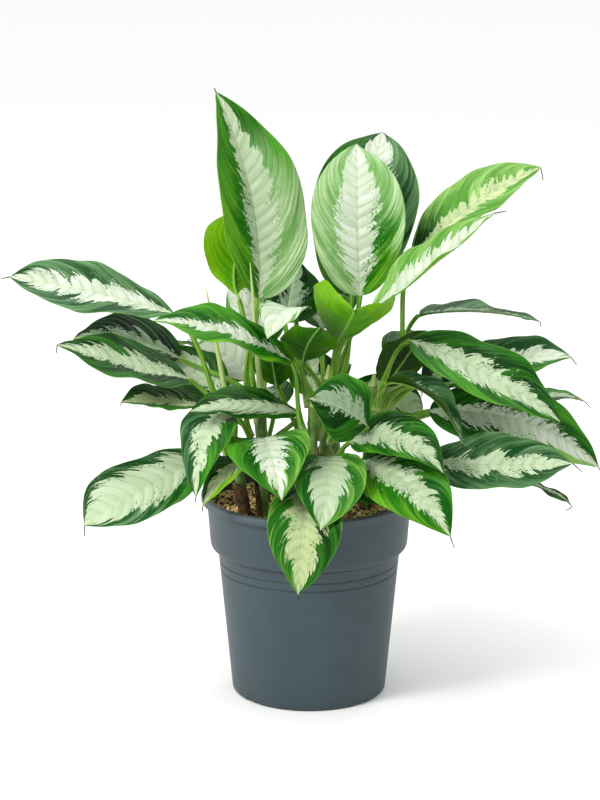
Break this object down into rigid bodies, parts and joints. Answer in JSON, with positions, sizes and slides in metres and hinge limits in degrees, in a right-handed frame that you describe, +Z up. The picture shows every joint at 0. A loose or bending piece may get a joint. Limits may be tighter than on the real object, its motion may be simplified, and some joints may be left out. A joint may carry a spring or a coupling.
{
  "type": "potted chinese evergreen",
  "caption": "Potted foliage plant: broad pointed leaves with pale feathered centres on clustered canes, rooted in soil in a tapered plastic nursery pot.",
  "frame": {"origin": "centre of the pot's underside, at the height the pot stands on", "axes": "+Z up, the side the picture shows faces -Y, its right is +X"},
  "size_m": [0.6577, 0.4128, 0.6703],
  "materials": {
    "pot_plastic": "matte dark blue-grey plastic with a fine grain",
    "soil_crumb": "loose damp potting soil with tan, brown and black crumbs",
    "stem_green": "smooth fleshy cane with ring scars",
    "leaf_green": "waxy green leaf with a pale feathered centre"
  },
  "bodies": {
    "root": {"leaf_behind_tall_centre": "leaf_green", "leaf_behind_tall_left": "leaf_green", "leaf_centre_cupped": "leaf_green", "leaf_centre_left": "leaf_green", "leaf_centre_pale": "leaf_green", "leaf_centre_round": "leaf_green", "leaf_centre_twisted": "leaf_green", "leaf_centre_underside": "leaf_green", "leaf_front_hanging": "leaf_green", "leaf_front_left": "leaf_green", "leaf_front_right": "leaf_green", "leaf_left_behind_middle": "leaf_green", "leaf_left_drooping": "leaf_green", "leaf_left_long_behind": "leaf_green", "leaf_left_long_high": "leaf_green", "leaf_left_long_low": "leaf_green", "leaf_left_middle": "leaf_green", "leaf_left_under": "leaf_green", "leaf_low_left": "leaf_green", "leaf_low_right_inner": "leaf_green", "leaf_low_right_large": "leaf_green", "leaf_low_right_small": "leaf_green", "leaf_rear_centre": "leaf_green", "leaf_rear_left_crinkled": "leaf_green", "leaf_rear_left_pale": "leaf_green", "leaf_rear_left_reaching": "leaf_green", "leaf_rear_low": "leaf_green", "leaf_rear_low_left": "leaf_green", "leaf_rear_low_right": "leaf_green", "leaf_rear_reaching": "leaf_green", "leaf_rear_right_reaching": "leaf_green", "leaf_rear_tall": "leaf_green", "leaf_rear_upper_dark": "leaf_green", "leaf_rear_upper_pale": "leaf_green", "leaf_right_behind_large": "leaf_green", "leaf_right_far_thin": "leaf_green", "leaf_right_folded": "leaf_green", "leaf_right_inner": "leaf_green", "leaf_right_inner_pale": "leaf_green", "leaf_right_inner_underside": "leaf_green", "leaf_right_large": "leaf_green", "leaf_right_low": "leaf_green", "leaf_right_thin": "leaf_green", "leaf_right_under_low": "leaf_green", "leaf_right_wide": "leaf_green", "leaf_tall_centre": "leaf_green", "leaf_tall_left": "leaf_green", "leaf_upper_right_high": "leaf_green", "leaf_upper_right_low": "leaf_green", "pot": "pot_plastic", "soil": "soil_crumb", "stem_far_left": "stem_green", "stem_front": "stem_green", "stem_front_right": "stem_green", "stem_left": "stem_green", "stem_rear": "stem_green", "stem_rear_left": "stem_green", "stem_rear_right": "stem_green", "stem_right": "stem_green"}
  },
  "joints": []
}
